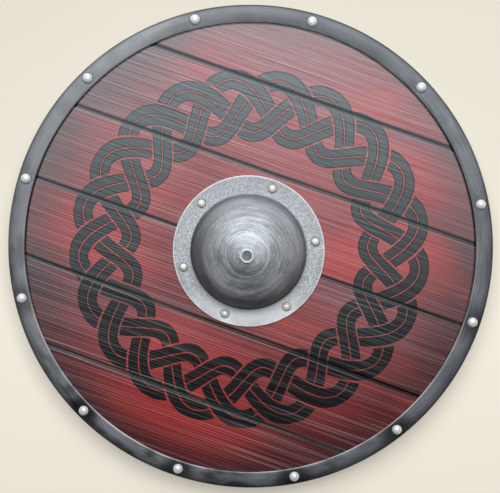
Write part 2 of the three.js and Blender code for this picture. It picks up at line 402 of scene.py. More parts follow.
def smooth_chance(x, y, seed):
    """Smooth random heights from -1 to 1 over a lattice of unit squares."""
    column = np.floor(x)
    row = np.floor(y)
    across = eased(x - column)
    up = eased(y - row)

    def corner(c, r):
        mixed = np.sin(c * 127.1 + r * 311.7 + seed * 74.7) * 43758.5453
        return 2 * (mixed - np.floor(mixed)) - 1

    low = corner(column, row) * (1 - across) + corner(column + 1, row) * across
    high = corner(column, row + 1) * (1 - across) + corner(column + 1, row + 1) * across
    return low * (1 - up) + high * up


def brushed_relief(x, y, seed):
    """Depth below the board's face, from 0 to 1."""
    sway = 2.2 * MM * smooth_chance(x / 0.19, y / 0.05, seed + 0.3)
    coarse = smooth_chance(x / 0.07, (y + sway) / 0.002, seed)
    fine = smooth_chance(x / 0.03, (y + sway) / 0.0014, seed + 0.6)
    return np.clip(0.5 + 0.28 * coarse + 0.2 * fine, 0, 1)


print("relief between", *np.round(np.percentile(
    brushed_relief(*np.mgrid[0:0.1:50j, 0:0.1:50j], 1), (2, 98)), 2))

# %% Rows and edges of one board


def line_through_circle(offset, slope, radius):
    """Both x where the lines y = offset + slope x meet a circle round the middle."""
    reach = np.sqrt(np.maximum(radius**2 * (1 + slope**2) - offset**2, 0))
    return (-slope * offset - reach) / (1 + slope**2), (-slope * offset + reach) / (1 + slope**2)


def edge_path(first, second, is_open):
    """The vertices along one long edge, round the half of the hand hole if it cuts the edge."""
    if not is_open[0]:
        return [*first[0], *second[0, 1:]]
    tip = int(np.argmin(is_open))
    return [*first[0], *first[1:tip + 1, -1], *second[tip - 1:0:-1, 0], *second[0]]


def board_rows(width):
    """Distances from a board's lower seam to each row: close in the V, even between."""
    inside = width - 2 * groove_rows[-1]
    middle = groove_rows[-1] + np.linspace(0, inside, round(inside / across_step))[1:-1]
    return np.concatenate([groove_rows, middle, (width - groove_rows)[::-1]])


def quads_of(net):
    """The faces of a net of vertices."""
    return np.stack([net[:-1, :-1], net[:-1, 1:], net[1:, 1:], net[1:, :-1]], -1).reshape(-1, 4)


print("rows of one board:", len(board_rows(board_width)))

# %% [markdown]
# The walls of a board start from the outline of its face. A second outline lies lower down and
# a third one, drawn in a little, closes the back, so the back edge looks eased by hand. Each
# point also keeps its distance to the nearest seam, the number of its board and whether it lies
# behind the face, for the stain to read.

# %% Mesh of one board


def board_mesh(number):
    low_offset, low_slope = seam_line(number)
    high_offset, high_slope = seam_line(number - 1)
    width = high_offset - low_offset - seam_gap
    share = board_rows(width) / width
    offset = low_offset + seam_gap / 2 + width * share
    slope = low_slope + (high_slope - low_slope) * share
    outer = line_through_circle(offset, slope, board_radius)
    inner = line_through_circle(offset, slope, hand_hole_radius)
    is_open = inner[1] - inner[0] > 1e-9

    columns = round(board_radius / along_step)
    part = np.linspace(0, 1, columns + 1)
    x_left = outer[0][:, None] * (1 - part) + inner[0][:, None] * part
    x_right = inner[1][:, None] * (1 - part) + outer[1][:, None] * part
    left = np.arange(x_left.size).reshape(x_left.shape)
    right = left.size + np.arange(x_right.size).reshape(x_right.shape)
    right[~is_open, 0] = left[~is_open, -1]

    x = np.concatenate([x_left.ravel(), x_right.ravel()])
    rows = np.tile(np.repeat(np.arange(len(share)), columns + 1), 2)
    y = offset[rows] + slope[rows] * x
    to_low = np.ones(len(x)) if number == board_count else y - low_offset - low_slope * x
    to_high = np.ones(len(x)) if number == 1 else high_offset + high_slope * x - y
    to_seam = np.minimum(to_low, to_high)
    groove = groove_depth * np.clip(1 - to_seam / (groove_width / 2), 0, 1)
    z = board_front - groove - relief_depth * brushed_relief(x, y, number)

    edge = np.array([
        *edge_path(left, right, is_open), *right[1:-1, -1],
        *edge_path(right[::-1, ::-1], left[::-1, ::-1], is_open[::-1]), *left[-2:0:-1, 0],
    ])
    ahead_x = np.roll(x[edge], -1) - np.roll(x[edge], 1)
    ahead_y = np.roll(y[edge], -1) - np.roll(y[edge], 1)
    length = np.hypot(ahead_x, ahead_y)
    x_end = x[edge] - back_ease * ahead_y / length
    y_end = y[edge] + back_ease * ahead_x / length
    low_edge = len(x) + np.arange(len(edge))
    end_edge = low_edge + len(edge)
    flat = np.ones(len(edge))
    points = np.concatenate([
        np.column_stack([x, y, z]),
        np.column_stack([x[edge], y[edge], flat * (board_back + back_ease)]),
        np.column_stack([x_end, y_end, flat * board_back]),
    ])
    faces = [quads_of(left), quads_of(right)]
    for upper, lower in ((edge, low_edge), (low_edge, end_edge)):
        faces.append(np.stack([lower, np.roll(lower, -1), np.roll(upper, -1), upper], -1))

    mesh = bpy.data.meshes.new(f"board_{number}")
    mesh.from_pydata(points.tolist(), [], [*np.concatenate(faces).tolist(), end_edge[::-1].tolist()])
    for name, values in (
        ("seam", np.concatenate([to_seam, to_seam[edge], to_seam[edge]])),
        ("behind", (np.arange(len(points)) >= len(x)).astype(float)),
        ("board", np.full(len(points), float(number))),
    ):
        mesh.attributes.new(name, "FLOAT", "POINT").data.foreach_set("value", values)
    bm = bmesh.new()
    bm.from_mesh(mesh)
    loose = [vertex for vertex in bm.verts if not vertex.link_faces]
    bmesh.ops.delete(bm, geom=loose, context="VERTS")
    bm.to_mesh(mesh)
    bm.free()
    mesh.shade_smooth()
    mesh.set_sharp_from_angle(angle=sharp_board_edge)
    return mesh


# %% Put the boards in


def add_piece(name, mesh, slot, *nodes):
    """Puts a finished mesh in the scene in place of the model's own nodes."""
    piece = add_object(name, mesh)
    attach(piece, "root")
    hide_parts(*nodes)
    print(name, "has", sum(len(face.vertices) - 2 for face in mesh.polygons), "triangles")
    return piece


boards = []
for number in range(1, board_count + 1):
    boards.append(add_piece(f"board_{number}", board_mesh(number), "red_wood", f"plank_{number}"))

# %% [markdown]
# ## Stained wood and the painted plait
#
# Over the stain lies a plait of three strands in charcoal paint, a common old border. A painted
# texture would blur up close, so the plait is a formula: each strand is a wave round a circle,
# and the distance to that wave tells where the paint is. Where two strands cross, the one with
# the higher level hides the other, with a thin gap and a dark outline along its edges.

# %% The plait as a formula
plait_radius = 182 * MM
plait_swing = 33 * MM
plait_waves = 7
strand_half_width = 12.2 * MM
strand_gap = 2.4 * MM
midline_half_width = 0.8 * MM
paint_edge = 0.6 * MM
outline_width = 2.0 * MM


def plait(paint, wobble):
    """How much charcoal covers a place, and how much of the dark outline of the strands."""
    radius = paint.radius() + wobble
    angle = paint.y.maths("ARCTAN2", paint.x)
    strands = []
    for strand in range(3):
        phase = angle * plait_waves + strand * math.tau / 3
        steepness = phase.maths("COSINE") * (plait_swing * plait_waves / plait_radius)
        away = radius - phase.maths("SINE") * plait_swing - plait_radius
        distance = abs(away / (steepness * steepness + 1).maths("SQRT"))
        strands.append((distance, (phase * 2).maths("SINE")))
    cover = outline = None
    for distance, level in strands:
        body = distance.fade(strand_half_width, strand_half_width - paint_edge)
        body = body * distance.fade(midline_half_width - paint_edge / 2,
                                    midline_half_width + paint_edge / 2)
        line = distance.fade(strand_half_width - outline_width, strand_half_width - paint_edge)
        line = line.most(distance.fade(midline_half_width + outline_width, midline_half_width))
        hidden = None
        for other_distance, other_level in strands:
            if other_distance is distance:
                continue
            near = other_level.above(level) * other_distance.fade(
                strand_half_width + strand_gap, strand_half_width + strand_gap - paint_edge
            )
            hidden = near if hidden is None else hidden.most(near)
        shown = body * (1 - hidden)
        cover = shown if cover is None else cover.most(shown)
        outline = shown * line if outline is None else outline.most(shown * line)
    return cover, outline


print("the plait crosses itself", plait_waves * 3 * 2, "times")

# %% [markdown]
# Stain goes on in layers, and so does this material. First comes a red ground with drifts of
# darker and purer red, with a pale painted haze for the window's reflection towards the top and
# painted shade towards the bottom and beside the boss, and with dark pores and the furrows that
# the wire brush leaves. Then come the plait, paler towards the top with the same painted haze,
# grey smoke towards the rim, also paler at the top, a glowing red patch at the bottom, charcoal
# along the seams, the pale scratches on the ridges between the furrows, and last a painted shadow
# under the rim's lip.

# %% Stained wood
wood_red = (0.36, 0.042, 0.042)
wood_bright_red = (0.53, 0.03, 0.024)
wood_deep_red = (0.15, 0.02, 0.022)
wood_dusky = (0.17, 0.075, 0.08)
wood_furrow = (0.05, 0.014, 0.016)
wood_painted_haze = (0.68, 0.45, 0.47)
wood_scratch = (0.5, 0.28, 0.27)
charcoal_dark = (0.002, 0.003, 0.003)
charcoal_scratch = (0.16, 0.18, 0.175)
charcoal_painted_haze = (0.128, 0.154, 0.158)
smoke_dark = (0.006, 0.005, 0.006)
smoke_painted_haze = (0.15, 0.155, 0.16)
lip_shadow = (0.008, 0.004, 0.005)
bare_wood_dark = (0.30, 0.18, 0.09)
bare_wood = (0.42, 0.27, 0.15)
brush_pitch = 3.3 * MM
brush_sway = 16


def stained_wood():
    paint = Material("stained_wood", roughness=0.33)
    board, behind, seam = (paint.attribute(name) for name in ("board", "behind", "seam"))
    radius = paint.radius()
    upward = paint.along(picture_up)
    leftward = paint.along(-picture_right)
    low = upward.fade(0.15, -0.15)

    def along_grain(along, across, seed, detail, roughness=0.5):
        place = paint.vector(paint.x * along, paint.y * across, board * seed)
        return paint.noise(place, 1.0, detail, roughness)

    drift = along_grain(5, 9, 3.7, 3)
    grain = along_grain(4, 600, 5.1, 3, 0.6)
    lines = along_grain(4.5, 640, 8.3, 1)
    pores = along_grain(14, 1000, 2.9, 2)
    streaks = along_grain(4, 560, 6.7, 3, 0.65)
    warp = along_grain(3, 110, 2.3, 2)
    ridge = (paint.y * (math.tau / brush_pitch) + warp * brush_sway).maths("SINE")

    calm = upward.fade(-0.15, 0.2) * 0.4 + 0.28
    # Painted haze: a pale coat that stands for the window's reflection, thickest at the top.
    painted_haze = upward.fade(-0.3, 0.2) * (lines.fade(0.3, 0.7) * 0.18 + 0.22)
    # Painted shade: deeper red towards the bottom, more so on the right.
    painted_shade_low = upward.fade(-0.06, -0.28) * (leftward.fade(0.03, -0.05) * 0.35 + 0.35)
    # Painted shade on the boards beside the boss, on its left.
    painted_shade_by_boss = radius.fade(0.16, 0.105) * leftward.fade(-0.02, 0.07)
    furrow = ridge.fade(0, -0.9) * streaks.fade(0.34, 0.56)
    furrow = furrow * (low * 0.26 + leftward.fade(-0.1, 0.15) * 0.2 + 0.16)
    stain = paint.coats(
        wood_deep_red,
        (grain.fade(0.34, 0.62).most(calm), wood_red),
        (drift.fade(0.5, 0.66) * 0.9, wood_bright_red),
        (drift.fade(0.5, 0.3) * 0.7, wood_dusky),
        (painted_haze, wood_painted_haze),
        (painted_shade_low, wood_deep_red),
        (painted_shade_by_boss * 0.42, wood_dusky),
        (pores.fade(0.44, 0.3) * 0.5, wood_deep_red),
        (furrow, wood_furrow),
    )

    charcoal = paint.coats(
        charcoal_dark,
        # Painted haze: the charcoal turns pale towards the top, for the window's reflection.
        (upward.fade(-0.18, 0.22), charcoal_painted_haze),
        (grain.fade(0.45, 0.3) * 0.6, charcoal_dark),
        (lines.fade(0.56, 0.7) * 0.45, charcoal_scratch),
    )
    ring, outline = plait(paint, (grain - 0.5) * (1.2 * MM))
    topmost = upward.fade(0.05, 0.24) * leftward.fade(0.15, 0.02)
    smoked = (radius - topmost * (34 * MM)).fade(0.2, 0.285)
    smoked = smoked * (streaks.fade(0.36, 0.6) * 0.3 + 0.68)
    smoked = smoked * (1 - drift.fade(0.48, 0.62) * (low * 0.15 + topmost * 0.3 + 0.1))
    smoked = smoked * (upward.fade(0.05, -0.25) * -0.2 + 0.95)
    # Painted haze: the smoke turns pale towards the top, for the window's reflection.
    smoke = paint.mix(upward.fade(-0.22, 0.17), smoke_dark, smoke_painted_haze)
    ember = radius.fade(0.283, 0.24) * upward.fade(-0.13, -0.2) * leftward.fade(-0.05, 0.05)
    ember = ember * streaks.fade(0.3, 0.56) * (1 - ring) * (1 - ridge.fade(0, -0.9) * 0.6)
    scratch = paint.mix(ring, wood_scratch, charcoal_scratch)
    combed = ridge.fade(0.2, 1.0) * lines.fade(0.38, 0.58)
    side = leftward.fade(-0.05, 0.18) * upward.fade(-0.24, -0.02)
    front = paint.coats(
        stain,
        (ring * pores.fade(0.24, 0.34) * 0.98, charcoal),
        ((furrow * ring * 1.2).most(outline * 0.8), charcoal_dark),
        (smoked, smoke),
        (ember * 0.8, wood_bright_red),
        (seam.fade(5.5 * MM, 1.2 * MM) * 0.9, charcoal),
        (lines.fade(0.61, 0.7) * (low * 0.14 + 0.16), scratch),
        (combed * (low * 0.1 + side * 0.22 + 0.1), scratch),
        (radius.fade(0.2805, 0.2822) * upward.fade(-0.2, 0.05), lip_shadow),
    )

    back_grain = along_grain(5, 70, 4.3, 4, 0.6)
    back = paint.mix(back_grain.fade(0.3, 0.7), bare_wood_dark, bare_wood)
    paint.feed("Base Color", paint.mix(behind, front, back))
    paint.bump(grain * 0.6 + pores * 0.4, distance=0.35 * MM, strength=0.4)
    return paint.material


stained = stained_wood()
for piece in boards:
    piece.data.materials.append(stained)
print("nodes in the stained wood:", len(stained.node_tree.nodes))

# %% [markdown]
# ## Turned and folded metal
#
# The rim and the boss are both bodies of revolution. Blender's Screw modifier could turn a
# profile, but the dents round the rivets and the hammered flange need every point to know
# where it is. So one function turns a profile with numpy, and each piece then moves its own
# points a little. Each point also keeps its distance to the nearest rivet, so that the finish
# can take painted shade round the heads.

# %% Turn a profile
sharp_edge = math.radians(40)
doubled = 0.001 * MM


def arc(radius, height, bend, start, end, steps):
    """Points of radius and height round an arc, from one angle in degrees to another."""
    angle = np.radians(np.linspace(start, end, steps + 1))
    return np.column_stack([radius + bend * np.cos(angle), height + bend * np.sin(angle)])


def run(start, end, steps):
    """Evenly spaced points from start up to, but without, end."""
    share = np.linspace(0, 1, steps, endpoint=False)[:, None]
    return np.array(start) * (1 - share) + np.array(end) * share


def turn(profile, sides):
    """Points and faces of a closed profile turned about Z."""
    angle = np.arange(sides)[:, None] * math.tau / sides
    radius, height = profile[:, 0][None], profile[:, 1][None]
    points = np.stack(
        [radius * np.cos(angle), radius * np.sin(angle), height + 0 * angle], -1
    ).reshape(-1, 3)
    net = np.arange(len(points)).reshape(sides, len(profile))
    following = np.roll(net, -1, 0)
    faces = np.stack([net, following, np.roll(following, -1, 1), np.roll(net, -1, 1)], -1)
    return points, faces.reshape(-1, 4)


def closed_mesh(name, points, faces):
    """A smooth mesh without doubled points, with its faces turned outwards."""
    mesh = bpy.data.meshes.new(name)
    mesh.from_pydata(points.tolist(), [], [list(face) for face in faces])
    bm = bmesh.new()
    bm.from_mesh(mesh)
    bmesh.ops.remove_doubles(bm, verts=bm.verts, dist=doubled)
    bmesh.ops.recalc_face_normals(bm, faces=bm.faces)
    if bm.calc_volume(signed=True) < 0:
        bmesh.ops.reverse_faces(bm, faces=bm.faces)
    bm.to_mesh(mesh)
    bm.free()
    mesh.shade_smooth()
    mesh.set_sharp_from_angle(angle=sharp_edge)
    return mesh


def middles(nodes):
    """Where the middle of each of these nodes of the model lies, seen from the front."""
    boxes = [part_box(node) for node in nodes]
    return np.array([((low.x + high.x) / 2, (low.y + high.y) / 2) for low, high in boxes])


def nearest(points, places):
    """Distance across the face from each point to the nearest of some places."""
    apart = points[:, None, :2] - places[None]
    return np.hypot(apart[..., 0], apart[..., 1]).min(1)


def with_rivet_distance(mesh, places):
    """Keeps the distance to the nearest rivet on every point, for the finish to read."""
    spots = np.array([vertex.co for vertex in mesh.vertices])
    mesh.attributes.new("rivet", "FLOAT", "POINT").data.foreach_set("value", nearest(spots, places))
    return mesh


rim_nodes = [f"rim_rivet_{i + 1}" for i in range(12)]
boss_nodes = [f"boss_rivet_{i + 1}" for i in range(6)]
rim_rivets, boss_rivets = middles(rim_nodes), middles(boss_nodes)
print("rivet circle of the rim in mm:", round(np.hypot(*rim_rivets.T).mean() / MM, 2))

# %% [markdown]
# ## The rim
#
# The rim is sheet steel folded round the edge of the boards, with a lip on the face that bows
# up a little. Hammering each rivet home sinks the sheet round it, and the sheet between is
# never quite flat, so the net gets shallow dents and a slow wave.

# %% Rim
rim_sheet = 1.8 * MM
rim_width = 21.5 * MM
rim_bend = 4 * MM
rim_crown = 0.8 * MM
rim_dent = 0.45 * MM
rim_dent_reach = 8.5 * MM
rim_wave = 0.16 * MM
rim_waves_round = 26
rim_sides = 720

rim_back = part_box("rim")[0].z
rim_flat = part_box("rim")[1].z - rim_crown
rim_lip_radius = shield_radius - rim_width
rim_middle = shield_radius - rim_width / 2
fold_start = shield_radius - rim_bend
inner_bend = rim_bend - rim_sheet


def bowed(points):
    """Lifts points between the lip and the fold, most of all in the middle."""
    radius = points[:, 0]
    side = np.where(radius < rim_middle, rim_middle - rim_lip_radius, fold_start - rim_middle)
    points[:, 1] += rim_crown * np.clip(1 - ((radius - rim_middle) / side) ** 2, 0, 1)
    return points


def rim_profile():
    half = rim_sheet / 2
    lip_end = rim_lip_radius + half
    rim_under = rim_flat - rim_sheet
    return np.concatenate([
        run((lip_end, rim_back), (fold_start, rim_back), 6),
        arc(fold_start, rim_back + rim_bend, rim_bend, -90, 0, 5),
        arc(fold_start, rim_flat - rim_bend, rim_bend, 0, 90, 7)[:-1],
        bowed(run((fold_start, rim_flat), (lip_end, rim_flat), 18)),
        arc(lip_end, rim_flat - half, half, 90, 270, 6)[:-1],
        bowed(run((lip_end, rim_under), (fold_start, rim_under), 8)),
        arc(fold_start, rim_flat - rim_bend, inner_bend, 90, 0, 3),
        arc(fold_start, rim_back + rim_bend, inner_bend, 0, -90, 3)[:-1],
        run((fold_start, rim_back + rim_sheet), (lip_end, rim_back + rim_sheet), 4),
        arc(lip_end, rim_back + half, half, 90, 270, 4)[:-1],
    ])


def rim_mesh():
    points, faces = turn(rim_profile(), rim_sides)
    x, y, z = points.T
    radius = np.hypot(x, y)
    on_front = (z > rim_flat - rim_bend) * np.clip((fold_start - radius) / (4 * MM) + 0.4, 0, 1)
    round_x, round_y = (30 + rim_waves_round * side / radius for side in (x, y))
    wave = 0.5 + 0.5 * smooth_chance(round_x, round_y, 3)
    dent = rim_dent * np.exp(-((nearest(points, rim_rivets) / rim_dent_reach) ** 2))
    points[:, 2] -= on_front * (dent + rim_wave * wave)
    return with_rivet_distance(closed_mesh("rim_band", points, faces), rim_rivets)


rim = add_piece("rim_band", rim_mesh(), "rim_steel", "rim")

# %% [markdown]
# Darkened steel that is brushed along the rim shows long fine streaks and dark stains. Over them
# lie painted light and shade: a painted highlight towards the left, painted shade towards the upper
# right, stains that deepen into painted shade towards the bottom, painted shade round the rivets,
# most of all the lower ones, and a pale line along the inner edge that is partly wear and partly a
# painted highlight.
# Noise on a direction instead of an angle has no join where the angle jumps, so the streaks
# run all the way round.

# %% Rim steel
rim_streak_dark = (0.19, 0.197, 0.208)
rim_streak_pale = (0.29, 0.302, 0.315)
rim_painted_highlight = (0.52, 0.52, 0.52)
rim_painted_shade = (0.08, 0.085, 0.09)
rim_stain_and_shade = (0.03, 0.031, 0.033)
rim_rivet_shade = (0.015, 0.015, 0.016)
rim_fold = (0.07, 0.073, 0.078)
rim_worn_and_highlight = (0.75, 0.7, 0.7)


def ring_noise(paint, along, across, detail, roughness):
    """Noise stretched round the middle: along is per radian, across is per metre of radius."""
    radius = paint.radius()
    vector = paint.vector(paint.x / radius * along, paint.y / radius * along, radius * across)
    return paint.noise(vector, 1.0, detail, roughness)


def rim_steel():
    paint = Material("rim_steel", metallic=1.0)
    radius = paint.radius()
    to_rivet = paint.attribute("rivet")
    upward = paint.along(picture_up)
    leftward = paint.along(-picture_right)
    low = upward.fade(0.12, -0.2)
    streaks = ring_noise(paint, 9, 700, 3, 0.6)
    stains = ring_noise(paint, 7, 45, 2, 0.5)
    grain = paint.noise(paint.place, 900)

    # Painted shade: darker towards the upper right.
    painted_shade_upper_right = (upward - leftward * 0.8).fade(0.14, 0.3) * upward.fade(0.17, 0.26)
    # Dark stains, which deepen into painted shade towards the bottom.
    stain_and_shade_share = low * leftward.fade(-0.24, -0.1) * 0.65 + 0.2
    # Painted shade round the rivets, most of all the lower ones, with a dark ring right at each head.
    painted_shade_by_rivet = to_rivet.fade(31 * MM, 8 * MM) * (grain * 0.5 + 0.6)
    painted_shade_by_rivet = (painted_shade_by_rivet * (low * 0.8 + 0.1)).most(to_rivet.fade(7.8 * MM, 6.8 * MM) * 0.45)
    # A pale line along the inner edge, partly wear and partly a painted highlight, mostly at the
    # bottom and the top.
    worn_and_lit_share = ((abs(leftward).fade(0.02, 0.16) * 0.4 + 0.6) * low).most(upward.fade(0.1, 0.26) * 0.7)
    worn_and_lit_edge = radius.fade(0.2852, 0.2844) * worn_and_lit_share * (stains.fade(0.66, 0.42) * 0.4 + 0.2)
    paint.feed("Base Color", paint.coats(
        rim_streak_dark,
        (streaks.fade(0.3, 0.72), rim_streak_pale),
        # Painted highlight towards the left.
        (leftward.fade(-0.12, 0.26) * 0.3, rim_painted_highlight),
        (painted_shade_upper_right * 0.45, rim_painted_shade),
        (stains.fade(0.42, 0.68) * stain_and_shade_share, rim_stain_and_shade),
        (painted_shade_by_rivet, rim_rivet_shade),
        (radius.fade(0.2985, 0.3035) * (low * 0.45 + 0.2), rim_fold),
        (worn_and_lit_edge, rim_worn_and_highlight),
    ))
    paint.feed("Roughness", streaks * 0.16 + grain * 0.1 + 0.5)
    paint.bump(streaks * 0.7 + grain * 0.3, distance=0.1 * MM, strength=0.35)
    return paint.material


rim.data.materials.append(rim_steel())
print("rim finished, inner edge at", round(rim_lip_radius / MM, 1), "mm")

# %% [markdown]
# ## The boss
#
# The boss is spun: a disc of steel is pressed over a turning form until it is a dome with a
# flange. The tool leaves rings on the dome, and the flange is hammered flat. Its profile is the
# model's own, with more points, a small ring at the top and a dimple inside it.

# %% Profile of the boss
boss_sheet = 1.8 * MM
dome_radius = 71 * MM
dome_height = 54 * MM
dome_fillet = 2.5 * MM
top_ring_radius = 8.5 * MM
top_ring_width = 2.2 * MM
top_ring_dimple = 1.2 * MM
outer_round = 0.6 * MM
inner_round = 0.5 * MM
inside_steps = 24
flange_steps = 6
edge_steps = 8

flange_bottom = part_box("boss")[0].z
flange_top = flange_bottom + boss_sheet
flange_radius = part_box("boss")[1].x
boss_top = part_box("boss")[1].z
dome_top = flange_top + dome_height


def dome_curve(inset, steps):
    """Points down the dome, from its top ring to its foot, pushed in by inset."""
    foot = flange_top + dome_fillet
    rise = dome_top - foot
    handles = np.array([
        (top_ring_radius, dome_top), (0.56 * dome_radius, foot + 0.94 * rise),
        (dome_radius, foot + 0.52 * rise), (dome_radius, foot),
    ])
    t = np.linspace(0, 1, steps + 1)[:, None]
    weights = [(1 - t) ** 3, 3 * t * (1 - t) ** 2, 3 * t**2 * (1 - t), t**3]
    points = sum(weight * handle for weight, handle in zip(weights, handles))
    along = np.gradient(points, axis=0)
    along /= np.linalg.norm(along, axis=1)[:, None]
    return points + inset * np.column_stack([along[:, 1], -along[:, 0]])


def boss_profile():
    """The inside from the middle outwards, then the flange, the dome and its top ring."""
    inside = dome_curve(boss_sheet, inside_steps)
    ring_inner = top_ring_radius - top_ring_width
    dimple_floor = boss_top - top_ring_dimple
    middle = (0, dimple_floor - inner_round)
    edge = boss_sheet / 2
    foot = dome_radius + dome_fillet
    return np.concatenate([
        [(0, inside[0, 1])], inside,
        run((dome_radius - boss_sheet, flange_bottom), (flange_radius - edge, flange_bottom),
            flange_steps),
        arc(flange_radius - edge, flange_bottom + edge, edge, -90, 90, edge_steps)[:-1],
        run((flange_radius - edge, flange_top), (foot, flange_top), 34),
        arc(foot, flange_top + dome_fillet, dome_fillet, 270, 180, 5)[:-1],
        dome_curve(0, 84)[::-1],
        arc(top_ring_radius - outer_round, boss_top - outer_round, outer_round, 0, 90, 4),
        arc(ring_inner + inner_round, boss_top - inner_round, inner_round, 90, 180, 3),
        run((ring_inner - inner_round, dimple_floor), middle, 6),
        [middle],
    ])


print("points in the boss's profile:", len(boss_profile()))

# %% Boss
boss_sides = 360
turning_depth = 0.05 * MM
turning_pitch = 1.9 * MM
hammer_depth = 0.12 * MM
hammer_pitch = 4.2 * MM
boss_dent = 0.35 * MM
boss_dent_reach = 7 * MM


def boss_mesh():
    profile = boss_profile()
    points, faces = turn(profile, boss_sides)
    faces = faces[(faces[:, 0] % len(profile)) < len(profile) - 1]
    x, y, _ = points.T
    radius = np.hypot(x, y)
    underside = inside_steps + 1 + flange_steps + edge_steps
    is_top = np.tile(np.arange(len(profile)) > underside, boss_sides)
    on_dome = is_top * np.clip((dome_radius - radius) / (3 * MM), 0, 1) * (radius > top_ring_radius)
    on_flange = is_top * np.clip((radius - dome_radius - 2 * MM) / (3 * MM), 0, 1)
    rings = np.sin(radius / turning_pitch * math.tau)
    rings *= 0.6 + 0.4 * smooth_chance(radius / (9 * MM), radius * 0, 5)
    lumps = smooth_chance(x / hammer_pitch, y / hammer_pitch, 7)
    lumps += 0.7 * smooth_chance(2 * x / hammer_pitch, 2 * y / hammer_pitch, 8)
    dent = boss_dent * np.exp(-((nearest(points, boss_rivets) / boss_dent_reach) ** 2))
    points[:, 2] -= on_dome * turning_depth * (0.5 + 0.5 * rings)
    points[:, 2] -= on_flange * (hammer_depth * np.clip(0.5 + 0.3 * lumps, 0, 1) + dent)
    return with_rivet_distance(closed_mesh("boss_shell", points, faces), boss_rivets)


boss = add_piece("boss_shell", boss_mesh(), "boss_steel", "boss")

# %% [markdown]
# The dome's dark wash is rubbed away on the rings that the turning left, so its coats are rings
# and arcs. Over them lie painted light and shade: painted highlights on its lower side and left, on
# the steep side towards the top, on the upper right of its crown and on its top ring, and painted
# shade below the crown, in the lower left corner, round its foot and in the dimple. The hammered
# flange has a fine speckle, a painted highlight towards the bottom, and painted shade towards the
# top and round each rivet.

# %% Boss steel
dome_wash = (0.25, 0.255, 0.265)
dome_ring = (0.56, 0.58, 0.61)
dome_side_highlight = (0.88, 0.9, 0.92)
dome_arc = (0.1, 0.095, 0.1)
dome_steep_highlight = (0.84, 0.93, 1)
dome_corner_shade = (0.05, 0.062, 0.068)
dome_crown_highlight = (0.95, 0.97, 1)
dome_shade_below_crown = (0.12, 0.125, 0.13)
dome_speckle = (0.15, 0.15, 0.155)
dome_foot_shade = (0.05, 0.05, 0.055)
dome_top_ring_highlight = (0.92, 0.93, 0.95)
dome_dimple_shade = (0.12, 0.12, 0.125)
dome_worn = (0.85, 0.87, 0.9)
flange_dark = (0.31, 0.32, 0.33)
flange_pale = (0.68, 0.69, 0.705)
flange_low_highlight = (1, 1, 1)
flange_top_shade = (0.3, 0.31, 0.32)
flange_smudge = (0.25, 0.26, 0.27)
flange_rivet_shade = (0.05, 0.048, 0.045)
flange_edge = (0.95, 0.92, 0.92)


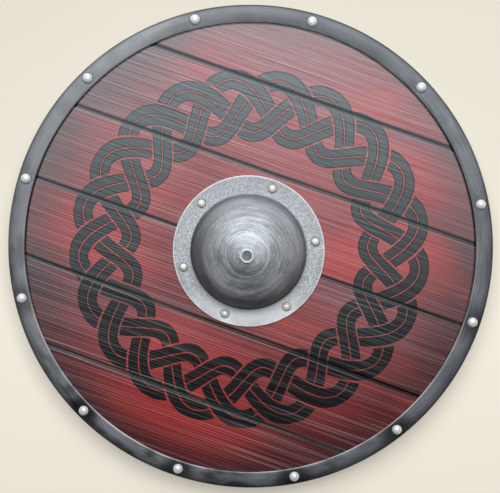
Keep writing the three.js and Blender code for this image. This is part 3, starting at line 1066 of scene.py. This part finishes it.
def boss_steel():
    paint = Material("boss_steel")
    radius = paint.radius()
    to_rivet = paint.attribute("rivet")
    upward = paint.along(picture_up)
    leftward = paint.along(-picture_right)
    rings = ring_noise(paint, 1.5, 400, 4, 0.72)
    arcs = ring_noise(paint, 1.4, 85, 2, 0.5)
    fans = ring_noise(paint, 5, 25, 2, 0.5)
    speckle = paint.noise(paint.place, 620, 2, 0.65)
    smudge = paint.noise(paint.place, 45, 3, 0.6)
    flange = radius.fade(dome_radius + 1 * MM, dome_radius + 3.5 * MM)

    # Painted highlight on the dome's lower side and its left.
    side = upward.fade(0.06, -0.02) * 0.5 + leftward.fade(-0.03, 0.04) * 0.4 + 0.4
    side = radius.fade(0.024, 0.044) * side
    dark = arcs.fade(0.44, 0.68) * (upward.fade(0.05, -0.05) * 0.35 + 0.2)
    # Painted highlight on the steep side towards the top.
    steep_highlight = radius.fade(0.05, 0.062) * (rings * 0.5 + 0.2) * (upward.fade(-0.05, 0.05) * 0.7 + 0.1)
    # Painted shade in the lower left corner.
    corner = radius.fade(0.047, 0.06) * (leftward - upward).fade(-0.06, 0.07)
    near_top = radius.fade(0.034, 0.02)
    # Painted highlight on the crown's upper right.
    crown_highlight = near_top * (upward - leftward * 0.8).fade(-0.02, 0.02)
    # Painted shade at the foot of the dome, in the crease by the flange.
    foot = radius.fade(0.065, 0.071) * (fans * 0.6 + 0.5)
    # Painted highlight on the top ring.
    top_ring_highlight = abs(radius - (top_ring_radius - top_ring_width / 2)).fade(1.4 * MM, 0.7 * MM)
    worn_ring = abs(radius - 26 * MM).fade(1.6 * MM, 0.5 * MM)
    dome_colour = paint.coats(
        dome_wash,
        (rings.fade(0.34, 0.66), dome_ring),
        (side * (rings * 0.7 + 0.1), dome_side_highlight),
        (dark, dome_arc),
        (steep_highlight, dome_steep_highlight),
        (corner * 0.72, dome_corner_shade),
        (crown_highlight * 0.3, dome_crown_highlight),
        # Painted shade below the crown.
        (near_top * upward.fade(-0.006, -0.026) * 0.52, dome_shade_below_crown),
        (speckle.fade(0.6, 0.4) * 0.3, dome_speckle),
        (foot * 0.8, dome_foot_shade),
        (top_ring_highlight * 0.8, dome_top_ring_highlight),
        # Painted shade in the dimple inside the top ring.
        (radius.fade(6.2 * MM, 4.5 * MM) * 0.7, dome_dimple_shade),
        (worn_ring * 0.35, dome_worn),
    )

    edge = radius.fade(flange_radius - 2.2 * MM, flange_radius - 1.2 * MM)
    flange_colour = paint.coats(
        flange_dark,
        (speckle.fade(0.34, 0.66), flange_pale),
        # Painted highlight towards the bottom.
        ((upward + abs(leftward) * 0.3).fade(-0.01, -0.085) * 0.85, flange_low_highlight),
        # Painted shade towards the top.
        (upward.fade(0.02, 0.09) * 0.3, flange_top_shade),
        (radius.fade(0.083, 0.0935) * smudge.fade(0.35, 0.6) * 0.35, flange_smudge),
        # Painted shade round each rivet.
        (to_rivet.fade(6.6 * MM, 5.4 * MM) * 0.75, flange_rivet_shade),
        (edge * 0.6, flange_edge),
    )
    paint.feed("Base Color", paint.mix(flange, dome_colour, flange_colour))
    paint.feed("Roughness", rings * 0.1 + 0.56)
    paint.feed("Metallic", flange * -0.45 + 0.7)
    height = rings * (1 - flange) * 0.6 + speckle * 0.5
    paint.bump(height, distance=0.1 * MM, strength=0.5)
    return paint.material


boss.data.materials.append(boss_steel())
print("dome rises to", round(boss_top / MM, 1), "mm")

# %% [markdown]
# ## Rivets by Geometry Nodes
#
# Eighteen rivets in two sizes are the same thing again and again, so a node tree makes them.
# It takes a few loose points, one for each rivet, and puts a head, a shank and a hammered tail
# at each. The sizes are inputs with names, so one tree serves both kinds. Each rivet gets its
# own small turn and tilt from a fixed seed, and a little noise, because no two are struck
# alike. The tree ends in Realize Instances, and its result is kept as a plain mesh.

# %% Short ways to build a geometry tree


class Tree(Nodes):
    """A Geometry Nodes tree with named inputs, and short ways to add its nodes."""

    def __init__(self, name, sizes):
        super().__init__(bpy.data.node_groups.new(name, "GeometryNodeTree"))
        kinds = {label: "Float" for label in sizes}
        for label, kind in {"Geometry": "Geometry", **kinds, "Material": "Material"}.items():
            self.tree.interface.new_socket(label, in_out="INPUT", socket_type=f"NodeSocket{kind}")
        self.tree.interface.new_socket(
            "Geometry", in_out="OUTPUT", socket_type="NodeSocketGeometry"
        )
        self.start = self.add("NodeGroupInput")
        self.end = self.add("NodeGroupOutput")

    def size(self, label):
        return Field(self.tree, self.start.outputs[label])

    def position(self):
        return self.split(self.add("GeometryNodeInputPosition").outputs[0])

    def moved(self, geometry, position=None, offset=(0, 0, 0)):
        entries = {"Geometry": geometry, "Offset": offset}
        if position is not None:
            entries["Position"] = position
        return self.add("GeometryNodeSetPosition", entries).outputs[0]

    def lifted(self, geometry, height):
        return self.moved(geometry, offset=self.vector(0.0, 0.0, height))

    def join(self, *parts):
        node = self.add("GeometryNodeJoinGeometry")
        for part in reversed(parts):
            fill(node.inputs[0], part)
        return node.outputs[0]

    def at_each_point(self, seed, least, most, *parts):
        """The joined parts at every point, each with its own turn between two limits."""
        chance = self.add("FunctionNodeRandomValue", {"Min": least, "Max": most, "Seed": seed},
                          data_type="FLOAT_VECTOR")
        return self.add("GeometryNodeInstanceOnPoints", {
            "Points": self.start.outputs["Geometry"],
            "Instance": self.join(*parts),
            "Rotation": chance.outputs["Value"],
        }).outputs[0]

    def realized(self, geometry):
        return self.add("GeometryNodeRealizeInstances", {"Geometry": geometry}).outputs[0]

    def finish(self, geometry):
        painted = self.add("GeometryNodeSetMaterial", {
            "Geometry": self.realized(geometry), "Material": self.start.outputs["Material"],
        })
        fill(self.end.inputs["Geometry"], painted.outputs[0])
        return self.tree


def plain_mesh(name, helper, sharp_angle):
    """What an object's modifiers make of it, as a plain mesh. The object is removed."""
    bpy.context.view_layer.update()
    shown = helper.evaluated_get(bpy.context.evaluated_depsgraph_get())
    result = bpy.data.meshes.new_from_object(shown)
    result.name = name
    helper.modifiers.clear()
    bpy.data.objects.remove(helper)
    result.shade_smooth()
    result.set_sharp_from_angle(angle=sharp_angle)
    return result


def grown_mesh(name, tree, points, sizes, material):
    """Runs a tree on loose points and returns the result as a plain mesh."""
    mesh = bpy.data.meshes.new(name + "_points")
    mesh.from_pydata([tuple(point) for point in points], [], [])
    helper = add_object(name + "_points", mesh)
    modifier = helper.modifiers.new("grow", "NODES")
    modifier.node_group = tree
    for item in tree.interface.items_tree:
        if item.in_out == "INPUT" and item.name in sizes:
            modifier[item.identifier] = float(sizes[item.name])
        elif item.in_out == "INPUT" and item.name == "Material":
            modifier[item.identifier] = material
    return plain_mesh(name, helper, sharp_edge)


print("a tree has", len([name for name in vars(Tree) if name[0] != "_"]), "helpers of its own")

# %% The rivet's tree
rivet_sizes = ("Head Radius", "Head Height", "Shank Radius", "Shank Length", "Tail Radius",
               "Tail Tip Radius", "Tail Height", "Unevenness")
head_sides = 32
head_rings = 9
tilt_most = 0.035
rivet_seed = 11
dent_scale = 260.0


def rivet_tree():
    tree = Tree("rivets", rivet_sizes)
    head_radius, head_height = tree.size("Head Radius"), tree.size("Head Height")
    length, tail_height = tree.size("Shank Length"), tree.size("Tail Height")

    flat_head = tree.add("GeometryNodeMeshCone", {
        "Vertices": head_sides, "Side Segments": head_rings, "Radius Top": 0.0,
        "Radius Bottom": head_radius, "Depth": head_height,
    }).outputs["Mesh"]
    x, y, z = tree.position()
    ball = (head_radius * head_radius + head_height * head_height) / (head_height * 2)
    reach = (ball * ball - x * x - y * y).most(0).maths("SQRT")
    is_top = z.above(0.00001)
    head = tree.moved(flat_head, tree.vector(x, y, (reach - ball + head_height) * is_top))

    shank = tree.lifted(tree.add("GeometryNodeMeshCylinder", {
        "Vertices": 16, "Radius": tree.size("Shank Radius"), "Depth": length,
    }).outputs["Mesh"], length * -0.5)
    tail = tree.lifted(tree.add("GeometryNodeMeshCone", {
        "Vertices": 20, "Side Segments": 3, "Radius Bottom": tree.size("Tail Tip Radius"),
        "Radius Top": tree.size("Tail Radius"), "Depth": tail_height,
    }).outputs["Mesh"], (length + tail_height) * -1)

    placed = tree.at_each_point(
        rivet_seed, (-tilt_most, -tilt_most, 0), (tilt_most, tilt_most, math.tau),
        head, shank, tail,
    )
    noise = tree.add("ShaderNodeTexNoise", {"Scale": dent_scale, "Detail": 1.0})
    spread = tree.add("ShaderNodeVectorMath", {0: noise.outputs["Color"], 1: (0.5, 0.5, 0.5)},
                      operation="SUBTRACT")
    shift = tree.add("ShaderNodeVectorMath", {0: spread.outputs[0]}, operation="SCALE")
    fill(shift.inputs["Scale"], tree.size("Unevenness"))
    return tree.finish(tree.moved(tree.realized(placed), offset=shift.outputs[0]))


rivets = rivet_tree()
print("the rivet's tree has", len(rivets.nodes), "nodes")

# %% Rivet finishes


def rivet_metal(name, bright, dark, roughness, metallic):
    """Polished metal with a little tarnish and fine scratches."""
    paint = Material(name, metallic=metallic)
    tarnish = paint.noise(paint.place, 240, 3, 0.6)
    scratches = paint.noise(paint.place, 1300)
    paint.feed("Base Color", paint.mix(tarnish.fade(0.5, 0.72) * 0.6, bright, dark))
    paint.feed("Roughness", tarnish * 0.14 + (roughness - 0.06))
    paint.bump(scratches * 0.5 + tarnish, distance=0.05 * MM, strength=0.5)
    return paint.material


bright_steel = rivet_metal("bright_steel", (0.95, 0.95, 0.94), (0.72, 0.72, 0.7), 0.3, 0.3)
pale_nickel = rivet_metal("pale_nickel", (0.96, 0.93, 0.82), (0.72, 0.66, 0.52), 0.3, 0.25)
print("rivet finishes:", bright_steel.name, "and", pale_nickel.name)

# %% [markdown]
# The model says how high each head stands and how deep each tail lies. The rim's rivets all
# have one length. Two of the boss's rivets pass through the grip too, so they are longer and
# make a third group.

# %% Rim and boss rivets
rim_head_height = 4.2 * MM
boss_head_height = 3.8 * MM
tail_radius = 4.2 * MM
tail_height = 1.8 * MM
head_sink = 0.3 * MM
fixed_sizes = {
    "Shank Radius": 2.5 * MM,
    "Tail Radius": tail_radius,
    "Tail Tip Radius": 3 * MM,
    "Tail Height": tail_height,
    "Unevenness": 0.22 * MM,
}


def rivet_mesh(name, nodes, head_height, material):
    """All rivets among these nodes of the model, as one mesh."""
    meshes = []
    for back in sorted({round(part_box(node)[0].z, 5) for node in nodes}):
        group = [node for node in nodes if round(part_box(node)[0].z, 5) == back]
        low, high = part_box(group[0])
        seat = high.z - head_height - head_sink
        sizes = {
            "Head Radius": (high.x - low.x) / 2,
            "Head Height": head_height + head_sink,
            "Shank Length": seat - back - tail_height,
            **fixed_sizes,
        }
        places = [(x, y, seat) for x, y in middles(group)]
        meshes.append(grown_mesh(name, rivets, places, sizes, material))
    bm = bmesh.new()
    for mesh in meshes:
        bm.from_mesh(mesh)
    bm.to_mesh(meshes[0])
    bm.free()
    meshes[0].set_sharp_from_angle(angle=sharp_edge)
    return meshes[0]


add_piece("rim_rivets", rivet_mesh("rim_rivets", rim_nodes, rim_head_height, bright_steel),
          "bright_steel", *rim_nodes)
add_piece("boss_rivets", rivet_mesh("boss_rivets", boss_nodes, boss_head_height, pale_nickel),
          "pale_nickel", *boss_nodes)

# %% [markdown]
# ## Screws by Geometry Nodes
#
# Sixteen countersunk screws hold the grip and the battens. Only their heads show, so the tree
# spends its faces there: a fine block is pressed into a cone with a flat face, and the points
# of that face near its middle are sunk into a cross. Starting from a block keeps the head one
# closed surface. A block's square face becomes round when each coordinate is shortened by the
# other, which leaves the middle, where the cross lies, almost as it was.

# %% The screw's tree
screw_sizes = ("Head Radius", "Sink", "Edge", "Shank Radius", "Length", "Tip", "Slot Width",
               "Slot Reach", "Slot Depth")
head_lines = 21
shank_sides = 12
screw_seed = 23


def screw_tree():
    tree = Tree("screws", screw_sizes)
    head_radius, shank_radius = tree.size("Head Radius"), tree.size("Shank Radius")
    sink, edge, length, tip = (tree.size(label) for label in ("Sink", "Edge", "Length", "Tip"))
    slot_width, slot_reach = tree.size("Slot Width"), tree.size("Slot Reach")

    block = tree.add("GeometryNodeMeshCube", {
        "Size": (2, 2, 2), "Vertices X": head_lines, "Vertices Y": head_lines, "Vertices Z": 3,
    }).outputs["Mesh"]
    x, y, level = tree.position()
    narrow = level.most(0)
    cone = head_radius - shank_radius
    radius = head_radius - cone * narrow
    round_x = x * (1 - y * y * 0.5).maths("SQRT") * radius
    round_y = y * (1 - x * x * 0.5).maths("SQRT") * radius

    def arm(across, along):
        return across.maths("LESS_THAN", slot_width * 0.5) * along.maths("LESS_THAN", slot_reach)

    slot = arm(abs(round_x), abs(round_y)).most(arm(abs(round_y), abs(round_x)))
    is_face = level.maths("LESS_THAN", -0.5)
    height = sink + edge + narrow * cone - edge * is_face + slot * is_face * tree.size("Slot Depth")
    head = tree.moved(block, tree.vector(round_x, round_y, height))

    neck = sink + edge + cone
    shank_length = length - tip - neck
    shank = tree.lifted(tree.add("GeometryNodeMeshCylinder", {
        "Vertices": shank_sides, "Radius": shank_radius, "Depth": shank_length,
    }).outputs["Mesh"], neck + shank_length * 0.5)
    point = tree.lifted(tree.add("GeometryNodeMeshCone", {
        "Vertices": shank_sides, "Radius Top": 0.0, "Radius Bottom": shank_radius, "Depth": tip,
    }).outputs["Mesh"], length - tip)
    turned = tree.at_each_point(screw_seed, (0, 0, 0), (0, 0, math.tau), head, shank, point)
    return tree.finish(turned)


screws = screw_tree()
print("the screw's tree has", len(screws.nodes), "nodes")

# %% Screws
screw_low, screw_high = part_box("grip_screw_1")
screw_sink = screw_low.z
screw_edge = 0.5 * MM
screw_head_radius = 4 * MM
screw_shank_radius = 2 * MM
screw_nodes = [f"grip_screw_{i + 1}" for i in range(4)]
screw_nodes += [f"batten_{side}_screw_{i + 1}" for side in ("left", "right") for i in range(6)]
screw_places = [(x, y, 0) for x, y in middles(screw_nodes)]
screw_steel = rivet_metal("screw_steel", (0.62, 0.6, 0.54), (0.3, 0.28, 0.24), 0.32, 1.0)
screw_mesh = grown_mesh("screws", screws, screw_places, {
    "Head Radius": screw_head_radius,
    "Sink": screw_sink,
    "Edge": screw_edge,
    "Shank Radius": screw_shank_radius,
    "Length": screw_high.z,
    "Tip": 2 * MM,
    "Slot Width": 1.3 * MM,
    "Slot Reach": 2.5 * MM,
    "Slot Depth": 1.4 * MM,
}, screw_steel)
add_piece("screws", screw_mesh, "screw_steel", *screw_nodes)

# %% [markdown]
# ## The back
#
# A shield of this kind is held by a grip behind the boss, and two battens tie its boards
# together. The grip is an oval where the hand closes on it and flat where it is screwed down.
# Lofting does that well: the same rounded rectangle is drawn again and again along the grip,
# with another width and another corner each time. Holes are cut at the end with a Boolean, so
# that the screws sit in true countersinks.

# %% Cut holes with a Boolean
hole_room = 0.3 * MM
pocket_depth = 3 * MM
cutter_sides = 28
cutter_spare = 1 * MM
sharp_bar_edge = math.radians(32)
bar_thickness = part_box("grip")[1].z


def countersink():
    """Outline of the hole round a screw, as radius and height."""
    head = screw_head_radius + hole_room
    shank = screw_shank_radius + hole_room
    edge = screw_sink + screw_edge
    top = bar_thickness + cutter_spare
    return np.array([(0, -cutter_spare), (head, -cutter_spare), (head, edge),
                     (shank, edge + head - shank), (shank, top), (0, top)])


def pocket():
    """Outline of the hollow round a rivet's tail."""
    radius = tail_radius + 2 * hole_room
    return np.array([(0, -cutter_spare), (radius, -cutter_spare), (radius, pocket_depth),
                     (0, pocket_depth)])


def cutter_mesh(outline, places):
    points, faces = turn(outline, cutter_sides)
    faces = faces[faces[:, 0] % len(outline) < len(outline) - 1]
    all_points = np.concatenate([points + (place[0], place[1], 0) for place in places])
    all_faces = np.concatenate([faces + len(points) * i for i in range(len(places))])
    return closed_mesh("cutter", all_points, all_faces)


def cut(name, mesh, *cutters):
    """The mesh less each cutter, as a plain mesh."""
    piece = add_object(name + "_uncut", mesh)
    helpers = [add_object("cutter", cutter) for cutter in cutters]
    for helper in helpers:
        modifier = piece.modifiers.new("cut", "BOOLEAN")
        modifier.operation = "DIFFERENCE"
        modifier.solver = "EXACT"
        modifier.object = helper
    result = plain_mesh(name, piece, sharp_bar_edge)
    for helper in helpers:
        bpy.data.objects.remove(helper)
    return result


def screws_in(node):
    """Places of the screws that pass through one bar of the model."""
    low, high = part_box(node)
    return [place for place in screw_places if low.x < place[0] < high.x and low.y < place[1] < high.y]


print("screws in the grip:", len(screws_in("grip")))

# %% Sawn wood
ring_pitch = 3.4 * MM
ring_sway = 9 * MM
late_wood = (0.34, 0.19, 0.08)
early_wood = (0.50, 0.32, 0.15)
patch_wood = (0.3, 0.18, 0.09)
pore_wood = (0.2, 0.11, 0.05)


def sawn_wood(name, pith_x, pith_z):
    """Pine with growth rings round a pith that runs along Y beside the bar."""
    paint = Material(name)

    def stretched(across, along, detail):
        vector = paint.vector(paint.x * across, paint.y * along, paint.z * across)
        return paint.noise(vector, 1.0, detail)

    from_x, from_z = paint.x - pith_x, paint.z - pith_z
    rings = (from_x * from_x + from_z * from_z).maths("SQRT") + stretched(6, 3, 2) * ring_sway
    band = (rings * (math.tau / ring_pitch)).maths("SINE")
    pores = stretched(700, 22, 2)
    paint.feed("Base Color", paint.coats(
        early_wood,
        (band.fade(-0.6, 1.0), late_wood),
        (stretched(25, 5, 3).fade(0.4, 0.7) * 0.4, patch_wood),
        (pores.fade(0.42, 0.3) * 0.5, pore_wood),
    ))
    paint.feed("Roughness", band * -0.05 + 0.56)
    paint.bump(band * 0.25 + pores, distance=0.18 * MM, strength=0.5)
    return paint.material


batten_wood = {"batten_left": sawn_wood("batten_left_wood", -0.17, -0.05),
               "batten_right": sawn_wood("batten_right_wood", 0.06, -0.05)}
grip_wood = sawn_wood("grip_wood", 0.035, -0.03)
print("kinds of sawn wood:", len(batten_wood) + 1)

# %% Battens
bar_round = 1.5 * MM
round_steps = 4


def batten_mesh(node):
    low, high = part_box(node)
    clip = (high.x - low.x) / 6
    outline = [
        (low.x + clip, low.y), (high.x - clip, low.y), (high.x, low.y + clip),
        (high.x, high.y - clip), (high.x - clip, high.y), (low.x + clip, high.y),
        (low.x, high.y - clip), (low.x, low.y + clip),
    ]
    bm = bmesh.new()
    bottom = bm.faces.new([bm.verts.new((x, y, low.z)) for x, y in outline])
    raised = bmesh.ops.extrude_face_region(bm, geom=[bottom])
    top = [item for item in raised["geom"] if isinstance(item, bmesh.types.BMVert)]
    bmesh.ops.translate(bm, verts=top, vec=(0, 0, high.z - low.z))
    bmesh.ops.bevel(bm, geom=bm.edges[:], offset=bar_round, segments=round_steps, profile=0.5,
                    affect="EDGES")
    bmesh.ops.recalc_face_normals(bm, faces=bm.faces)
    mesh = bpy.data.meshes.new(node)
    bm.to_mesh(mesh)
    bm.free()
    return cut(node, mesh, cutter_mesh(countersink(), screws_in(node)))


def paint_over(piece, material):
    """Gives a cut piece one material in place of what the cut left."""
    piece.data.materials.clear()
    piece.data.materials.append(material)


for node, wood in batten_wood.items():
    paint_over(add_piece(node + "_bar", batten_mesh(node), "plain_wood", node), wood)

# %% [markdown]
# Both tables of the grip give a size in mm for places along it, counted in mm from its middle.
# Between two places the size passes over smoothly, so the oval hand part flows into its seats.

# %% Grip
grip_half_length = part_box("grip")[1].y
grip_half_widths = {0: 16, 20: 16, 50: 13.6, 66: 18, 95.5: 18, 275.3: 11}
grip_corners = {0: 9.4, 40: 9.4, 62: 4, 68: 1.8, 275.3: 1.8}
least_corner = 0.5 * MM
corner_steps = 9
grip_steps = 96
grip_hand_half_width = 11 * MM


def along_grip(table, y):
    """A length between those that a table gives for places along the grip."""
    places, values = np.array(list(table.items()), float).T
    share = np.interp(abs(y) / MM, places, np.arange(len(places)))
    step = np.floor(share).astype(int).clip(0, len(places) - 2)
    passed = eased(share - step)
    return (values[step] * (1 - passed) + values[step + 1] * passed) * MM


def rounded_rectangle(half_width, half_height, corner):
    points = []
    for quarter in range(4):
        angle = math.radians(90 * quarter) + np.linspace(0, math.pi / 2, corner_steps)
        side_x = 1 if quarter in (0, 3) else -1
        side_y = 1 if quarter in (0, 1) else -1
        points.append(np.column_stack([
            side_x * (half_width - corner) + corner * np.cos(angle),
            side_y * (half_height - corner) + corner * np.sin(angle),
        ]))
    return np.concatenate(points)


def grip_mesh():
    end_angles = np.radians([0, 30, 60, 90])
    from_end = bar_round * (1 - np.sin(end_angles))
    shrink = bar_round * (1 - np.cos(end_angles))
    inner = np.linspace(0, grip_half_length - bar_round, grip_steps)
    half = np.concatenate([inner[:-1], grip_half_length - from_end])
    less = np.concatenate([np.zeros(len(inner) - 1), shrink])
    places = np.concatenate([-half[:0:-1], half])
    less = np.concatenate([less[:0:-1], less])
    rings = []
    for y, narrower in zip(places, less):
        ring = rounded_rectangle(
            along_grip(grip_half_widths, y) - narrower, bar_thickness / 2 - narrower,
            max(along_grip(grip_corners, y) - narrower, least_corner),
        )
        rings.append(np.column_stack([
            ring[:, 0], np.full(len(ring), y), ring[:, 1] + bar_thickness / 2,
        ]))
    net = np.arange(len(places) * 4 * corner_steps).reshape(len(places), -1)
    faces = np.stack([net[:-1], net[1:], np.roll(net[1:], -1, 1), np.roll(net[:-1], -1, 1)], -1)
    ends = [net[0], net[-1][::-1]]
    mesh = closed_mesh("grip", np.concatenate(rings), [*faces.reshape(-1, 4), *ends])
    tails = [place for place in boss_rivets if abs(place[0]) < grip_hand_half_width]
    return cut("grip", mesh, cutter_mesh(countersink(), screws_in("grip")),
               cutter_mesh(pocket(), tails))


paint_over(add_piece("grip_bar", grip_mesh(), "plain_wood", "grip"), grip_wood)

# %% [markdown]
# ## Finish
#
# The last cell keeps the sizes of the model and of the dressed shield side by side.

# %% Keep the sizes and finish
sizes = {
    "cad": [list(corner) for corner in cad_box],
    "visual": [list(corner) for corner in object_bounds()],
}
print("dressed size in mm:", [round((b - a) / MM, 1) for a, b in zip(*sizes["visual"])])
